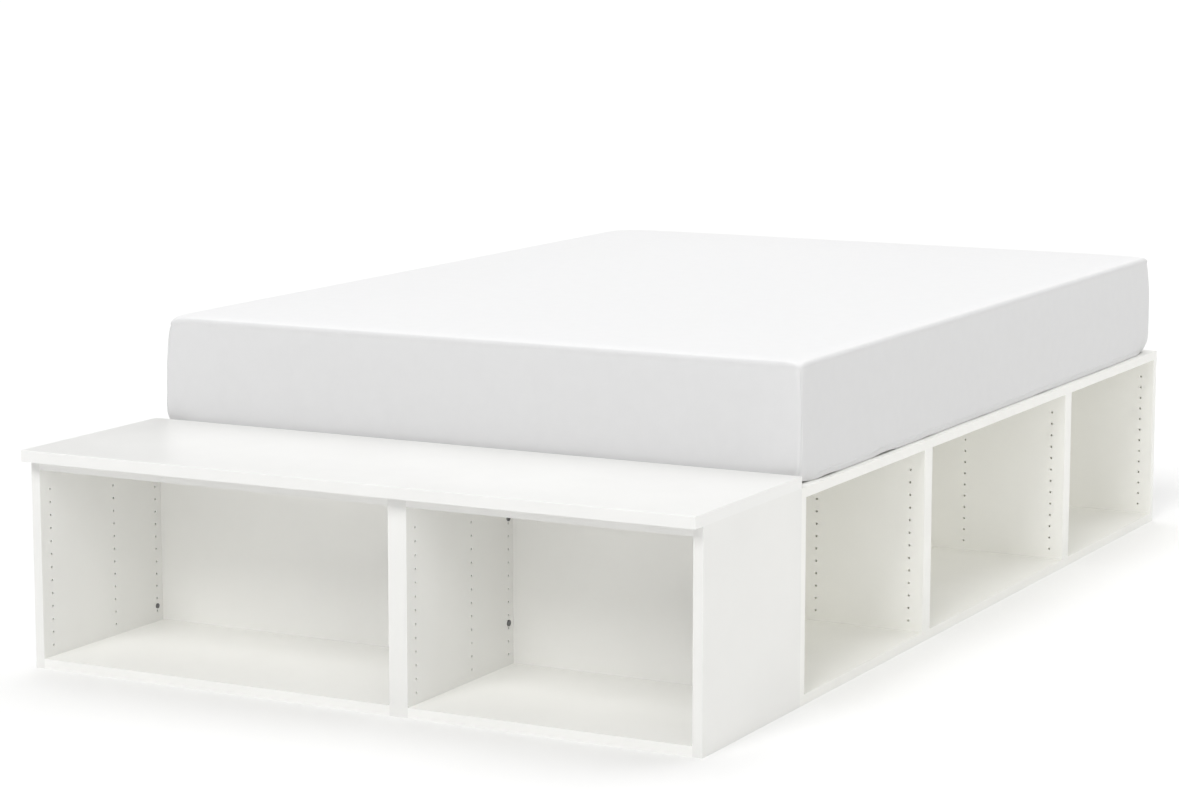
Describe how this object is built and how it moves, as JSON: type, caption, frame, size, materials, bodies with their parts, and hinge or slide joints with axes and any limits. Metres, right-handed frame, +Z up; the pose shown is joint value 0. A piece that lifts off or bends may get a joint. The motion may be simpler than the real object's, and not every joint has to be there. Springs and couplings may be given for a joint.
{
  "type": "double bed",
  "caption": "Low platform bed carried on open storage cabinets, with a bench top across the foot, a slatted base and a mattress in a fitted sheet.",
  "frame": {"origin": "middle of the bed's footprint, on the floor", "axes": "+X to the right as seen from the foot end, +Y from the foot to the head, +Z up"},
  "size_m": [1.4, 2.43, 0.6307],
  "materials": {
    "white_board": "satin",
    "white_top": "satin",
    "white_panel": "matte",
    "pine": "matte",
    "beech": "matte",
    "felt": "matte",
    "steel": "satin",
    "zinc": "satin",
    "tape": "matte",
    "ticking": "matte",
    "cotton": "matte"
  },
  "bodies": {
    "bed_frame": {"bench_wide_left_wall": "white_board", "bench_wide_right_wall": "white_board", "bench_wide_bottom_board": "white_board", "bench_wide_top_board": "white_board", "bench_wide_back_panel": "white_panel", "bench_narrow_left_wall": "white_board", "bench_narrow_right_wall": "white_board", "bench_narrow_bottom_board": "white_board", "bench_narrow_top_board": "white_board", "bench_narrow_back_panel": "white_panel", "right_foot_foot_wall": "white_board", "right_foot_head_wall": "white_board", "right_foot_bottom_board": "white_board", "right_foot_top_board": "white_board", "right_foot_back_panel": "white_panel", "right_middle_foot_wall": "white_board", "right_middle_head_wall": "white_board", "right_middle_bottom_board": "white_board", "right_middle_top_board": "white_board", "right_middle_back_panel": "white_panel", "right_head_foot_wall": "white_board", "right_head_head_wall": "white_board", "right_head_bottom_board": "white_board", "right_head_top_board": "white_board", "right_head_back_panel": "white_panel", "left_head_head_wall": "white_board", "left_head_foot_wall": "white_board", "left_head_bottom_board": "white_board", "left_head_top_board": "white_board", "left_head_back_panel": "white_panel", "left_middle_head_wall": "white_board", "left_middle_foot_wall": "white_board", "left_middle_bottom_board": "white_board", "left_middle_top_board": "white_board", "left_middle_back_panel": "white_panel", "left_foot_head_wall": "white_board", "left_foot_foot_wall": "white_board", "left_foot_bottom_board": "white_board", "left_foot_top_board": "white_board", "left_foot_back_panel": "white_panel", "bench_top": "white_top", "head_panel": "white_board", "centre_beam": "pine", "centre_legs": "pine", "leg_pads": "felt", "wood_dowels": "beech", "cam_bolts": "steel", "cam_discs": "zinc", "link_bolts": "steel", "link_sleeves": "steel", "wall_plug": "steel", "tie_screws": "steel", "bench_top_screws": "steel"},
    "slat_base": {"slats": "pine", "slat_tapes": "tape"},
    "mattress": {"mattress": "ticking", "fitted_sheet": "cotton"}
  },
  "joints": [
    {"name": "slat_base_lift", "type": "slide", "parent": "bed_frame", "child": "slat_base", "axis": [0, 0, 1], "range_m": [0, 0.3]},
    {"name": "mattress_lift", "type": "slide", "parent": "slat_base", "child": "mattress", "axis": [0, 0, 1], "range_m": [0, 0.3]}
  ]
}
